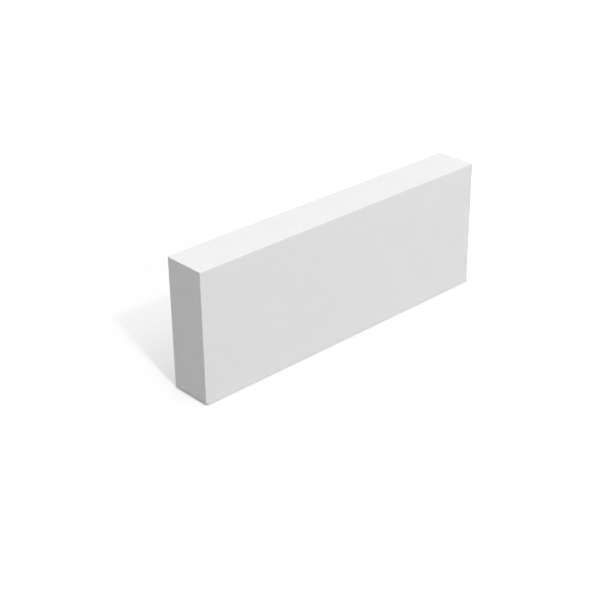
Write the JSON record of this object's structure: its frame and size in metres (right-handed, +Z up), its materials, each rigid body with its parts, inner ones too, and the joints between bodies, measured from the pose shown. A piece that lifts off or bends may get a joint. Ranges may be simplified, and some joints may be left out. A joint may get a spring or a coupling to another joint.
{
  "type": "aerated concrete block",
  "caption": "Plain rectangular block of white autoclaved aerated concrete, sawn flat on all sides, for laying thin partition walls.",
  "frame": {"origin": "middle of the lower bed face, on the level that the block stands on", "axes": "+X along the length to the right end, -Y out of the large front face, +Z up through the height"},
  "size_m": [0.6, 0.075, 0.225],
  "materials": {
    "aerated_concrete": "matt wire-cut porous white concrete"
  },
  "bodies": {
    "root": {"aerated_concrete_block": "aerated_concrete"}
  },
  "joints": []
}
